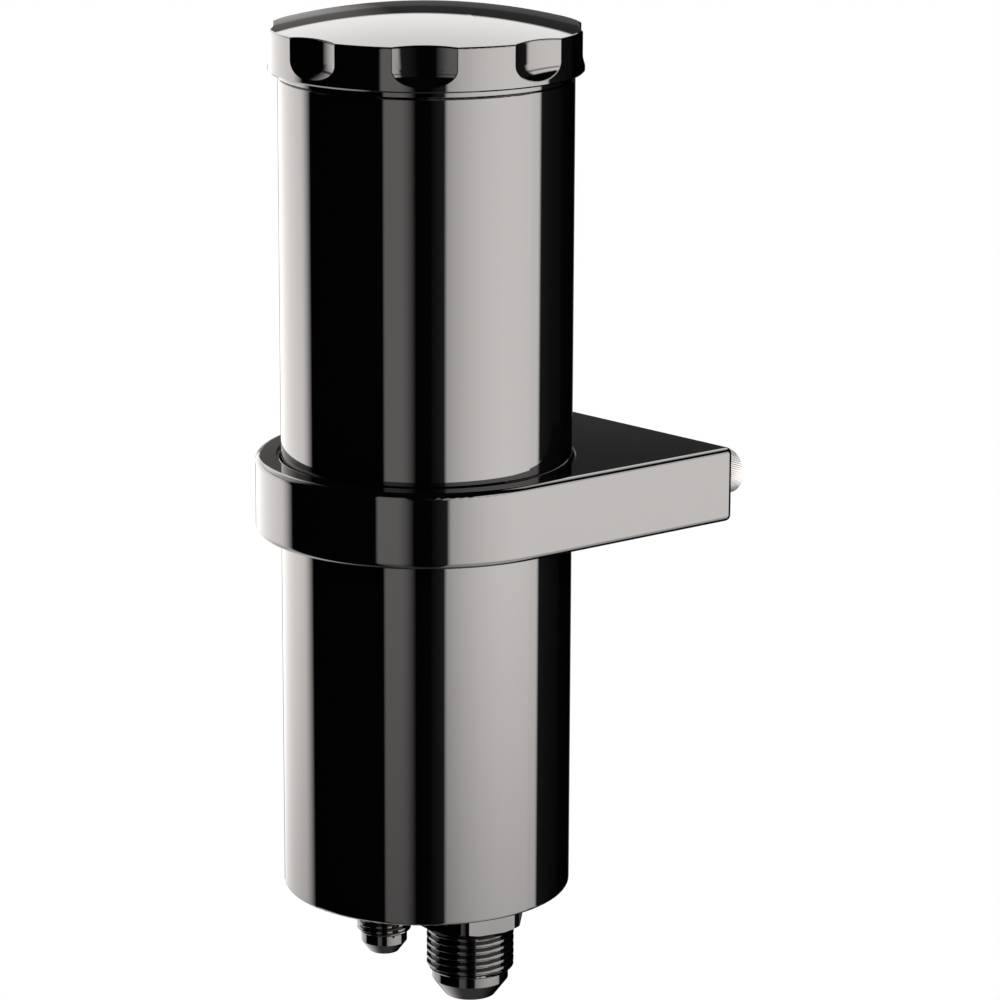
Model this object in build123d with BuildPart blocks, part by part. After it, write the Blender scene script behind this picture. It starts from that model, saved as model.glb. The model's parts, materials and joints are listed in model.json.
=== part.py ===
from build123d import *
import os
from math import acos, atan2, cos, degrees, hypot, radians, sin, sqrt, tan

# Power steering reservoir: a machined can with a domed screw cap, held in a one-piece bracket,
# with a large outlet fitting and a small return fitting under its floor.
# Lengths are in millimetres. The origin is the centre of the bracket's mounting face,
# +Y points out of that face, +Z points up along the can and +X points at the outlet fitting.

# Can, turned from one billet, with a closed floor and an open, threaded mouth
can_diameter = 73.025
can_height = 207.3
can_bottom_to_bracket_middle = 103.0
can_bore_diameter = 63.5
can_floor_thickness = 16.0
can_floor_edge_round = 0.8
can_mouth_edge_round = 0.4
can_lower_bore_diameter = 61.0
can_floor_corner_round = 3.0

# Bracket, milled from one plate, with the can's ring and a flat mounting face
bracket_height = 19.05
bracket_ring_diameter = 85.8
mounting_face_width = 100.2
mounting_reach = 59.8
bracket_edge_round = 1.5
bracket_corner_round = 2.0
bracket_bore_edge_round = 1.1
can_to_bracket_clearance = 0.12

# Mounting screws, from behind the panel into the bracket's blind tapped holes
screw_spacing = 76.2
screw_diameter = 7.94
screw_length = 19.05
screw_head_diameter = 11.9
screw_head_height = 7.94
screw_head_chamfer = 0.7
screw_socket_across_flats = 6.35
screw_socket_depth = 4.0
screw_hole_depth = 21.0
screw_hole_clearance = 0.05
washer_diameter = 17.4
washer_hole_diameter = 8.7
washer_thickness = 1.6
washer_edge_round = 0.2
lock_washer_diameter = 14.6
lock_washer_hole_diameter = 8.4
lock_washer_thickness = 0.9
lock_washer_tooth_count = 12
lock_washer_tooth_depth = 1.2
lock_washer_slot_width = 0.9

# Set screw that locks the can in the bracket's bore
set_screw_diameter = 6.35
set_screw_length = 12.7
set_screw_socket_across_flats = 3.18
set_screw_socket_depth = 4.0
set_screw_point_diameter = 3.4
set_screw_point_height = 1.2
set_screw_hole_clearance = 0.05
set_screw_point_gap = 0.05

# Cap, turned and scalloped, with a threaded skirt inside the can's mouth
cap_diameter = 77.7
cap_neck_height = 1.6
cap_side_height = 10.7
cap_dome_height = 5.0
cap_lower_edge_break = 0.4
cap_neck_edge_break = 0.3
cap_crown_thickness = 7.0
cap_skirt_depth = 13.7
cap_skirt_bore_diameter = 55.0
cap_thread_clearance = 0.3
cap_lead_in_chamfer = 0.8
scallop_count = 8
scallop_radius = 40.0
scallop_depth = 1.56
scallop_floor_blend = 6.4
scallop_floor_height = -0.9
scallop_start_angle = 0.8
cap_rim_round = 0.5

# Seal between the cap's skirt and the smooth counterbore at the top of the mouth
seal_bore_diameter = 66.8
seal_bore_depth = 4.5
seal_land_clearance = 0.25
seal_section = 2.0
seal_groove_width = 2.3
seal_groove_offset = 1.2
seal_clearance = 0.04

# Fittings under the floor, on the line through the can's axis along X
outlet_offset = 16.1
outlet_thread_diameter = 22.225
outlet_hex_across_flats = 26.0
outlet_hex_corner_diameter = 28.9
outlet_hex_height = 6.95
outlet_hex_angle = 10.7
outlet_thread_length = 12.7
outlet_neck_diameter = 19.4
outlet_neck_length = 2.7
outlet_tip_diameter = 12.9
outlet_bore_diameter = 10.9
outlet_stub_diameter = 21.9
outlet_stub_length = 13.0

return_offset = 16.1
return_thread_diameter = 14.2875
return_hex_across_flats = 19.05
return_hex_corner_diameter = 21.2
return_hex_height = 9.7
return_hex_angle = 22.0
return_thread_length = 8.7
return_neck_diameter = 11.9
return_neck_length = 2.7
return_tip_diameter = 7.6
return_bore_diameter = 6.4
return_stub_diameter = 14.0
return_stub_length = 10.0

# Shared by both fittings
flare_half_angle = 37.0
thread_end_chamfer = 0.8
hex_bevel_angle = 30.0
hex_bevel_height = 0.6
port_clearance = 0.05
port_end_gap = 0.5
port_seal_section = 2.0
port_seal_counterbore_depth = 2.15
port_seal_clearance = 0.05

# Baffle plate on a ledge in the can's bore, kept down by a snap ring
baffle_height_above_floor = 58.0
baffle_thickness = 2.4
baffle_edge_clearance = 0.3
baffle_hole_diameter = 8.0
baffle_hole_count = 6
baffle_hole_circle_diameter = 46.0
baffle_hole_start_angle = 30.0
snap_ring_thickness = 1.6
snap_ring_groove_diameter = 66.0
snap_ring_band_width = 3.0
snap_ring_gap_angle = 34.0
snap_ring_lug_diameter = 6.0
snap_ring_lug_hole_diameter = 2.2
snap_ring_clearance = 0.05

# Standpipe that carries the returning fluid up through the baffle
standpipe_diameter = 12.0
standpipe_bore_diameter = 8.4
standpipe_rise_above_baffle = 26.0
standpipe_seat_depth = 4.0
standpipe_crown_thickness = 2.0
standpipe_crown_round = 1.0
standpipe_window_width = 4.0
standpipe_window_height = 12.0
standpipe_window_count = 4
standpipe_seat_clearance = 0.05
standpipe_baffle_clearance = 0.3

# How far a cut runs past a surface, and how near an edge must lie to a height to be picked there
cut_margin = 1.0
pick_tolerance = 0.01

# Places worked out from the sizes above
can_axis_y = -mounting_reach
can_radius = can_diameter / 2
can_bore_radius = can_bore_diameter / 2
can_lower_bore_radius = can_lower_bore_diameter / 2
can_bottom_z = -can_bottom_to_bracket_middle
can_top_z = can_bottom_z + can_height
floor_z = can_bottom_z + can_floor_thickness
ledge_z = floor_z + baffle_height_above_floor
bracket_bottom_z = -bracket_height / 2
bracket_bore_radius = can_radius + can_to_bracket_clearance
ring_radius = bracket_ring_diameter / 2
half_face = mounting_face_width / 2
cap_radius = cap_diameter / 2
cap_bottom_z = can_top_z + cap_neck_height
cap_rim_z = cap_bottom_z + cap_side_height
cap_top_z = cap_rim_z + cap_dome_height
cap_cavity_top_z = cap_top_z - cap_crown_thickness
cap_skirt_radius = can_bore_radius - cap_thread_clearance
cap_skirt_bottom_z = can_top_z - cap_skirt_depth
seal_bore_radius = seal_bore_diameter / 2
seal_land_radius = seal_bore_radius - seal_land_clearance
seal_land_bottom_z = can_top_z - seal_bore_depth + cap_thread_clearance
seal_ring_radius = seal_bore_radius - seal_clearance - seal_section / 2
seal_groove_radius = seal_ring_radius - seal_section / 2 - seal_clearance
seal_groove_top_z = can_top_z - seal_groove_offset
seal_centre_z = seal_groove_top_z - seal_groove_width / 2
baffle_radius = can_bore_radius - baffle_edge_clearance
baffle_top_z = ledge_z + baffle_thickness
standpipe_radius = standpipe_diameter / 2
standpipe_foot_z = floor_z - standpipe_seat_depth
standpipe_top_z = baffle_top_z + standpipe_rise_above_baffle
standpipe_bore_top_z = standpipe_top_z - standpipe_crown_thickness
standpipe_window_bottom_z = standpipe_bore_top_z - standpipe_window_height
screw_stack = washer_thickness + lock_washer_thickness
ports = (
    (outlet_offset, outlet_stub_diameter, outlet_stub_length, outlet_bore_diameter),
    (-return_offset, return_stub_diameter, return_stub_length, return_bore_diameter),
)


def level(z, x=0.0):
    """Horizontal plane at height z, centred on the can's axis or x beside it."""
    return Plane(origin=(x, can_axis_y, z), x_dir=(1, 0, 0), z_dir=(0, 0, 1))


def section(x=0.0):
    """Upright plane through the can's axis or x beside it: local x is +X and local y is +Z."""
    return Plane(origin=(x, can_axis_y, 0), x_dir=(1, 0, 0), z_dir=(0, -1, 0))


def face_plane(y, x=0.0):
    """Plane parallel to the mounting face at y, seen from outside, centred on x."""
    return Plane(origin=(x, y, 0), x_dir=(-1, 0, 0), z_dir=(0, 1, 0))


def upright_axis(x=0.0):
    """Axis parallel to the can's, x beside it."""
    return Axis((x, can_axis_y, 0), (0, 0, 1))


def distance_from_can_axis(edge):
    """How far an edge's middle lies from the can's axis."""
    return hypot(edge.center().X, edge.center().Y - can_axis_y)


def finish(piece, name):
    """Label a finished piece and write it under its name."""
    piece.label = name
    export_step(piece, f"parts/{name}.step")
    print(name, round(piece.volume, 1))


def port_seal_ring_radius(stub_diameter):
    """Centre radius of the seal that lies around a fitting's stub."""
    return stub_diameter / 2 - port_seal_section / 4 + port_seal_clearance


def port_counterbore_radius(stub_diameter):
    """Radius of the counterbore in the can's underside that holds the seal."""
    return port_seal_ring_radius(stub_diameter) + port_seal_section / 2 + port_seal_clearance


def stub_relief_radius(stub_diameter):
    """Radius of the relief in the stub where the seal lies."""
    return port_seal_ring_radius(stub_diameter) - port_seal_section / 2 - port_seal_clearance


os.makedirs("parts", exist_ok=True)

# The can
with BuildPart() as can:
    with BuildSketch(level(can_bottom_z)):
        Circle(can_radius)
    extrude(amount=can_height)
    fillet(can.edges().sort_by(Axis.Z)[0], can_floor_edge_round)
    fillet(can.edges().sort_by(Axis.Z)[-1], can_mouth_edge_round)
    with BuildSketch(section()):
        with BuildLine():
            Polyline(
                (0, floor_z),
                (can_lower_bore_radius, floor_z),
                (can_lower_bore_radius, ledge_z),
                (can_bore_radius, ledge_z),
                (can_bore_radius, can_top_z - seal_bore_depth),
                (seal_bore_radius, can_top_z - seal_bore_depth),
                (seal_bore_radius, can_top_z + cut_margin),
                (0, can_top_z + cut_margin),
                close=True,
            )
        make_face()
    revolve(axis=upright_axis(), mode=Mode.SUBTRACT)
    round_edges = can.edges().filter_by(GeomType.CIRCLE)
    fillet(
        round_edges.filter_by_position(Axis.Z, floor_z - pick_tolerance, floor_z + pick_tolerance),
        can_floor_corner_round,
    )
    # Snap ring groove just above the baffle
    with BuildSketch(level(baffle_top_z)):
        Circle(snap_ring_groove_diameter / 2)
    extrude(amount=snap_ring_thickness + snap_ring_clearance, mode=Mode.SUBTRACT)
    # Ports for the two fittings: passage, stub hole and seal counterbore, all from below
    for x, stub_diameter, stub_length, bore_diameter in ports:
        with BuildSketch(level(can_bottom_z, x)):
            Circle(bore_diameter / 2)
        extrude(amount=can_floor_thickness, mode=Mode.SUBTRACT)
        with BuildSketch(level(can_bottom_z, x)):
            Circle(stub_diameter / 2 + port_clearance)
        extrude(amount=stub_length + port_end_gap, mode=Mode.SUBTRACT)
        with BuildSketch(level(can_bottom_z, x)):
            Circle(port_counterbore_radius(stub_diameter))
        extrude(amount=port_seal_counterbore_depth, mode=Mode.SUBTRACT)
    # Seat for the standpipe's foot in the floor
    with BuildSketch(level(floor_z, -return_offset)):
        Circle(standpipe_radius + standpipe_seat_clearance)
    extrude(amount=-standpipe_seat_depth, mode=Mode.SUBTRACT)
finish(can.part, "can")

# The bracket: its sides run from the mounting face's ends and touch the ring tangentially
corner_distance = hypot(half_face, mounting_reach)
corner_angle = degrees(atan2(mounting_reach, half_face))
side_normal_angle = corner_angle - degrees(acos(ring_radius / corner_distance))
tangent_x = ring_radius * cos(radians(side_normal_angle))
tangent_y = can_axis_y + ring_radius * sin(radians(side_normal_angle))

with BuildPart() as bracket:
    with BuildSketch(Plane.XY.offset(bracket_bottom_z)):
        with BuildLine():
            Line((-half_face, 0), (half_face, 0))
            Line((half_face, 0), (tangent_x, tangent_y))
            ThreePointArc((tangent_x, tangent_y), (0, can_axis_y - ring_radius), (-tangent_x, tangent_y))
            Line((-tangent_x, tangent_y), (-half_face, 0))
        make_face()
        with Locations((0, can_axis_y)):
            Circle(bracket_bore_radius, mode=Mode.SUBTRACT)
    extrude(amount=bracket_height)
    upright_edges = bracket.edges().filter_by(Axis.Z)
    face_corners = upright_edges.filter_by_position(Axis.Y, -pick_tolerance, pick_tolerance)
    fillet(face_corners, bracket_corner_round)
    for end_face in (bracket.faces().sort_by(Axis.Z)[-1], bracket.faces().sort_by(Axis.Z)[0]):
        fillet(end_face.outer_wire().edges(), bracket_edge_round)
    for end_face in (bracket.faces().sort_by(Axis.Z)[-1], bracket.faces().sort_by(Axis.Z)[0]):
        fillet(end_face.inner_wires().edges(), bracket_bore_edge_round)
    # Blind tapped holes for the mounting screws
    with BuildSketch(face_plane(0)):
        with GridLocations(screw_spacing, 0, 2, 1):
            Circle(screw_diameter / 2 + screw_hole_clearance)
    extrude(amount=-screw_hole_depth, mode=Mode.SUBTRACT)
    # Through hole for the set screw
    with BuildSketch(face_plane(0)):
        Circle(set_screw_diameter / 2 + set_screw_hole_clearance)
    extrude(amount=-(mounting_reach - can_radius), mode=Mode.SUBTRACT)
finish(bracket.part, "bracket")


# One mounting screw with its two washers
def mounting_screw(x, side):
    """Socket head screw seated on its washers at x, named for its side."""
    head_seat_y = screw_stack
    head_top_y = head_seat_y + screw_head_height
    with BuildPart() as screw:
        with BuildSketch(face_plane(head_seat_y, x)):
            Circle(screw_head_diameter / 2)
        extrude(amount=screw_head_height)
        chamfer(screw.edges().sort_by(Axis.Y)[-1], screw_head_chamfer)
        with BuildSketch(face_plane(head_seat_y, x)):
            Circle(screw_diameter / 2)
        extrude(amount=-screw_length)
        chamfer(screw.edges().sort_by(Axis.Y)[0], screw_head_chamfer)
        with BuildSketch(face_plane(head_top_y, x)):
            RegularPolygon(screw_socket_across_flats / 2, 6, major_radius=False)
        extrude(amount=-screw_socket_depth, mode=Mode.SUBTRACT)
    finish(screw.part, f"mounting_screw_{side}")

    with BuildPart() as washer:
        with BuildSketch(face_plane(0, x)):
            Circle(washer_diameter / 2)
            Circle(washer_hole_diameter / 2, mode=Mode.SUBTRACT)
        extrude(amount=washer_thickness)
        fillet(washer.faces().sort_by(Axis.Y)[-1].outer_wire().edges(), washer_edge_round)
    finish(washer.part, f"mounting_washer_{side}")

    with BuildPart() as lock_washer:
        with BuildSketch(face_plane(washer_thickness, x)):
            Circle(lock_washer_diameter / 2)
            Circle(lock_washer_hole_diameter / 2, mode=Mode.SUBTRACT)
            with PolarLocations(lock_washer_hole_diameter / 2, lock_washer_tooth_count):
                Rectangle(2 * lock_washer_tooth_depth, lock_washer_slot_width, mode=Mode.SUBTRACT)
        extrude(amount=lock_washer_thickness)
    finish(lock_washer.part, f"mounting_lock_washer_{side}")


mounting_screw(-screw_spacing / 2, "left")
mounting_screw(screw_spacing / 2, "right")

# The set screw, its point on the can
set_screw_tip_y = can_axis_y + can_radius + set_screw_point_gap
with BuildPart() as can_set_screw:
    with BuildSketch(face_plane(set_screw_tip_y)):
        Circle(set_screw_point_diameter / 2)
    extrude(amount=set_screw_point_height)
    with BuildSketch(face_plane(set_screw_tip_y + set_screw_point_height)):
        Circle(set_screw_diameter / 2)
    extrude(amount=set_screw_length - set_screw_point_height)
    with BuildSketch(face_plane(set_screw_tip_y + set_screw_length)):
        RegularPolygon(set_screw_socket_across_flats / 2, 6, major_radius=False)
    extrude(amount=-set_screw_socket_depth, mode=Mode.SUBTRACT)
finish(can_set_screw.part, "can_set_screw")

# The disc that cuts one scallop: a wide flat disc with a blended lower rim
with BuildPart() as scallop_cutter:
    with BuildSketch(Plane.XZ):
        with BuildLine():
            Line((0, 0), (scallop_radius - scallop_floor_blend, 0))
            RadiusArc(
                (scallop_radius - scallop_floor_blend, 0),
                (scallop_radius, scallop_floor_blend),
                -scallop_floor_blend,
            )
            Polyline(
                (scallop_radius, scallop_floor_blend),
                (scallop_radius, cap_side_height + cap_dome_height),
                (0, cap_side_height + cap_dome_height),
                (0, 0),
            )
        make_face()
    revolve(axis=Axis.Z)

# The cap: half section turned about the can's axis, then scalloped
dome_radius = (cap_radius ** 2 + cap_dome_height ** 2) / (2 * cap_dome_height)
dome_mid_x = cap_radius / 2
dome_mid_z = cap_top_z - dome_radius + sqrt(dome_radius ** 2 - dome_mid_x ** 2)
scallop_axis_distance = cap_radius - scallop_depth + scallop_radius

with BuildPart() as cap:
    with BuildSketch(section()):
        with BuildLine():
            Polyline(
                (0, cap_top_z),
                (0, cap_cavity_top_z),
                (cap_skirt_bore_diameter / 2, cap_cavity_top_z),
                (cap_skirt_bore_diameter / 2, cap_skirt_bottom_z),
                (cap_skirt_radius - cap_lead_in_chamfer, cap_skirt_bottom_z),
                (cap_skirt_radius, cap_skirt_bottom_z + cap_lead_in_chamfer),
                (cap_skirt_radius, seal_land_bottom_z),
                (seal_land_radius, seal_land_bottom_z),
                (seal_land_radius, seal_groove_top_z - seal_groove_width),
                (seal_groove_radius, seal_groove_top_z - seal_groove_width),
                (seal_groove_radius, seal_groove_top_z),
                (seal_land_radius, seal_groove_top_z),
                (seal_land_radius, can_top_z),
                (can_radius - cap_neck_edge_break, can_top_z),
                (can_radius, can_top_z + cap_neck_edge_break),
                (can_radius, cap_bottom_z),
                (cap_radius - cap_lower_edge_break, cap_bottom_z),
                (cap_radius, cap_bottom_z + cap_lower_edge_break),
                (cap_radius, cap_rim_z),
            )
            ThreePointArc((cap_radius, cap_rim_z), (dome_mid_x, dome_mid_z), (0, cap_top_z))
        make_face()
    revolve(axis=upright_axis())
    with Locations((0, can_axis_y, cap_bottom_z + scallop_floor_height)):
        with PolarLocations(scallop_axis_distance, scallop_count, start_angle=scallop_start_angle):
            add(scallop_cutter.part, mode=Mode.SUBTRACT)
    # Break the rim and the outline of every scallop, but not the scallops' own tangent seams
    blend_top_z = cap_bottom_z + scallop_floor_height + scallop_floor_blend
    outer_edges = cap.edges().filter_by_position(
        Axis.Z, cap_bottom_z + cap_lower_edge_break + pick_tolerance, cap_top_z
    )
    outline = outer_edges.filter_by(
        lambda edge: not (
            abs(edge.center().Z - blend_top_z) < pick_tolerance
            and edge.bounding_box().size.Z < pick_tolerance
        )
    )
    outline = outline.filter_by(lambda edge: distance_from_can_axis(edge) > seal_bore_radius)
    fillet(outline, cap_rim_round)
finish(cap.part, "cap")

with BuildPart() as cap_o_ring:
    with Locations((0, can_axis_y, seal_centre_z)):
        Torus(seal_ring_radius, seal_section / 2)
finish(cap_o_ring.part, "cap_o_ring")


# A fitting: stub in the port, seal relief, hexagon and flared thread end
def flare_fitting(name, x, thread_diameter, thread_length, neck_diameter, neck_length, tip_diameter,
                  bore_diameter, stub_diameter, stub_length, hex_across_flats, hex_corner_diameter,
                  hex_height, hex_angle):
    """Fitting under the can's floor at x, its hexagon's corners turned round, with its seal."""
    thread_radius = thread_diameter / 2
    neck_radius = neck_diameter / 2
    tip_radius = tip_diameter / 2
    stub_radius = stub_diameter / 2
    relief_radius = stub_relief_radius(stub_diameter)
    hex_bottom_z = can_bottom_z - hex_height
    thread_bottom_z = hex_bottom_z - thread_length
    cone_top_z = thread_bottom_z - neck_length
    tip_z = cone_top_z - (neck_radius - tip_radius) / tan(radians(flare_half_angle))
    corner_radius = hex_corner_diameter / 2
    bevel_radius = corner_radius - hex_bevel_height / tan(radians(hex_bevel_angle))
    with BuildPart() as fitting:
        with BuildSketch(level(can_bottom_z, x)):
            RegularPolygon(hex_across_flats / 2, 6, major_radius=False, rotation=hex_angle)
            Circle(corner_radius, mode=Mode.INTERSECT)
        extrude(amount=-hex_height)
        with BuildSketch(section(x)):
            with BuildLine():
                Polyline(
                    (bevel_radius, hex_bottom_z),
                    (corner_radius + cut_margin, hex_bottom_z),
                    (corner_radius + cut_margin, hex_bottom_z + hex_bevel_height),
                    (corner_radius, hex_bottom_z + hex_bevel_height),
                    close=True,
                )
            make_face()
        revolve(axis=upright_axis(x), mode=Mode.SUBTRACT)
        with BuildSketch(section(x)):
            with BuildLine():
                Polyline(
                    (0, can_bottom_z + stub_length),
                    (stub_radius - thread_end_chamfer, can_bottom_z + stub_length),
                    (stub_radius, can_bottom_z + stub_length - thread_end_chamfer),
                    (stub_radius, can_bottom_z + port_seal_counterbore_depth),
                    (relief_radius, can_bottom_z + port_seal_counterbore_depth),
                    (relief_radius, hex_bottom_z),
                    (thread_radius, hex_bottom_z),
                    (thread_radius, thread_bottom_z + thread_end_chamfer),
                    (thread_radius - thread_end_chamfer, thread_bottom_z),
                    (neck_radius, thread_bottom_z),
                    (neck_radius, cone_top_z),
                    (tip_radius, tip_z),
                    (0, tip_z),
                    close=True,
                )
            make_face()
        revolve(axis=upright_axis(x))
        with BuildSketch(level(tip_z, x)):
            Circle(bore_diameter / 2)
        extrude(amount=can_bottom_z + stub_length - tip_z, mode=Mode.SUBTRACT)
    finish(fitting.part, f"{name}_fitting")

    with BuildPart() as seal:
        with Locations((x, can_axis_y, can_bottom_z + port_seal_counterbore_depth / 2)):
            Torus(port_seal_ring_radius(stub_diameter), port_seal_section / 2)
    finish(seal.part, f"{name}_o_ring")


flare_fitting(
    name="outlet",
    x=outlet_offset,
    thread_diameter=outlet_thread_diameter,
    thread_length=outlet_thread_length,
    neck_diameter=outlet_neck_diameter,
    neck_length=outlet_neck_length,
    tip_diameter=outlet_tip_diameter,
    bore_diameter=outlet_bore_diameter,
    stub_diameter=outlet_stub_diameter,
    stub_length=outlet_stub_length,
    hex_across_flats=outlet_hex_across_flats,
    hex_corner_diameter=outlet_hex_corner_diameter,
    hex_height=outlet_hex_height,
    hex_angle=outlet_hex_angle,
)
flare_fitting(
    name="return",
    x=-return_offset,
    thread_diameter=return_thread_diameter,
    thread_length=return_thread_length,
    neck_diameter=return_neck_diameter,
    neck_length=return_neck_length,
    tip_diameter=return_tip_diameter,
    bore_diameter=return_bore_diameter,
    stub_diameter=return_stub_diameter,
    stub_length=return_stub_length,
    hex_across_flats=return_hex_across_flats,
    hex_corner_diameter=return_hex_corner_diameter,
    hex_height=return_hex_height,
    hex_angle=return_hex_angle,
)

# The baffle plate, with a ring of holes and a hole for the standpipe
with BuildPart() as baffle_plate:
    with BuildSketch(level(ledge_z)):
        Circle(baffle_radius)
        with PolarLocations(
            baffle_hole_circle_diameter / 2, baffle_hole_count, start_angle=baffle_hole_start_angle
        ):
            Circle(baffle_hole_diameter / 2, mode=Mode.SUBTRACT)
        with Locations((-return_offset, 0)):
            Circle(standpipe_radius + standpipe_baffle_clearance, mode=Mode.SUBTRACT)
    extrude(amount=baffle_thickness)
finish(baffle_plate.part, "baffle_plate")

# The snap ring: an open ring whose ends carry lugs with plier holes
snap_ring_radius = snap_ring_groove_diameter / 2 - snap_ring_clearance
snap_ring_inner_radius = snap_ring_radius - snap_ring_band_width
lug_angle = snap_ring_gap_angle / 2
gap_corner_x = 2 * snap_ring_radius * cos(radians(lug_angle))
gap_corner_y = 2 * snap_ring_radius * sin(radians(lug_angle))
with BuildPart() as baffle_snap_ring:
    with BuildSketch(level(baffle_top_z)):
        Circle(snap_ring_radius)
        Circle(snap_ring_inner_radius, mode=Mode.SUBTRACT)
        with BuildLine():
            Polyline((0, 0), (gap_corner_x, gap_corner_y), (gap_corner_x, -gap_corner_y), close=True)
        make_face(mode=Mode.SUBTRACT)
        for angle in (lug_angle, -lug_angle):
            with PolarLocations(snap_ring_inner_radius, 1, start_angle=angle):
                Circle(snap_ring_lug_diameter / 2)
                Circle(snap_ring_lug_hole_diameter / 2, mode=Mode.SUBTRACT)
    extrude(amount=snap_ring_thickness)
finish(baffle_snap_ring.part, "baffle_snap_ring")

# The standpipe: a tube with a closed crown and side windows above the baffle
with BuildPart() as return_standpipe:
    with BuildSketch(level(standpipe_foot_z, -return_offset)):
        Circle(standpipe_radius)
    extrude(amount=standpipe_top_z - standpipe_foot_z)
    fillet(return_standpipe.edges().sort_by(Axis.Z)[-1], standpipe_crown_round)
    with BuildSketch(level(standpipe_foot_z, -return_offset)):
        Circle(standpipe_bore_diameter / 2)
    extrude(amount=standpipe_bore_top_z - standpipe_foot_z, mode=Mode.SUBTRACT)
    with BuildSketch(level(standpipe_window_bottom_z, -return_offset)):
        with PolarLocations(0, standpipe_window_count // 2, angular_range=180):
            Rectangle(2 * standpipe_diameter, standpipe_window_width)
    extrude(amount=standpipe_window_height, mode=Mode.SUBTRACT)
finish(return_standpipe.part, "return_standpipe")
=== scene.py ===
"""Dresses the power steering reservoir: finishes, hose threads, knurled screws, studio and camera.

Lengths are in metres. The origin is the centre of the bracket's mounting face, +Y points out of
that face, +Z points up along the can and +X points at the outlet fitting.
"""

from __future__ import annotations

import json
import logging
import math
from dataclasses import dataclass, field
from enum import Enum

import bmesh
import bpy
from mathutils import Matrix, Vector

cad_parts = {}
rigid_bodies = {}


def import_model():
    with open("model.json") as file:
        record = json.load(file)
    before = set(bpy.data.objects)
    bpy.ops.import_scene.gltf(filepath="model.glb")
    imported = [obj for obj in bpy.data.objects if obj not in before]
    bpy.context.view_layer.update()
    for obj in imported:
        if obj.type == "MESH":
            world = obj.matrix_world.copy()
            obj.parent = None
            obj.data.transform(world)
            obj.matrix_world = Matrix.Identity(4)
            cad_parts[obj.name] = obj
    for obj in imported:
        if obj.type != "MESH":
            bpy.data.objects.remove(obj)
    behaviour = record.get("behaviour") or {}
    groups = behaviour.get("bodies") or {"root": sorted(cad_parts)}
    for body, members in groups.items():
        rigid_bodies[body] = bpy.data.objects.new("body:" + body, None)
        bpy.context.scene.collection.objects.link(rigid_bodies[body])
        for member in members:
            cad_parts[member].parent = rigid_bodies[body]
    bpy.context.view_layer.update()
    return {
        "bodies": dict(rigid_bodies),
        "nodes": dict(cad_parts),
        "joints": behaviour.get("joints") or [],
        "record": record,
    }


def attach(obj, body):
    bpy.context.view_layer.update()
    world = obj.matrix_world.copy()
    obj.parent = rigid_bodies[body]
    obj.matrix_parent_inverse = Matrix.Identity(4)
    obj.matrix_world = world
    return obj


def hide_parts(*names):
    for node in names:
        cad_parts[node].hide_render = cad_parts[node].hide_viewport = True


LOG = logging.getLogger("reservoir")
CAN_AXIS_Y = -0.0598
MILLIMETRE = 0.001
WELD_DISTANCE = 1e-7
SHARP_ANGLE = 24.0
Colour = tuple[float, float, float]


class Slot(Enum):
    """Material slots of the record."""

    GLOSS_BLACK = "black_anodised"
    ZINC = "zinc_steel"
    RUBBER = "seal_rubber"
    BARE = "bare_aluminium"
    BLACK_STEEL = "black_steel"


class Effect(Enum):
    """Shared surface effects, each a node group made once."""

    SMUDGES = "handling_smudges"
    LATHE_LINES = "lathe_lines"
    DUST = "settled_dust"
    GRAIN = "surface_grain"


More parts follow.
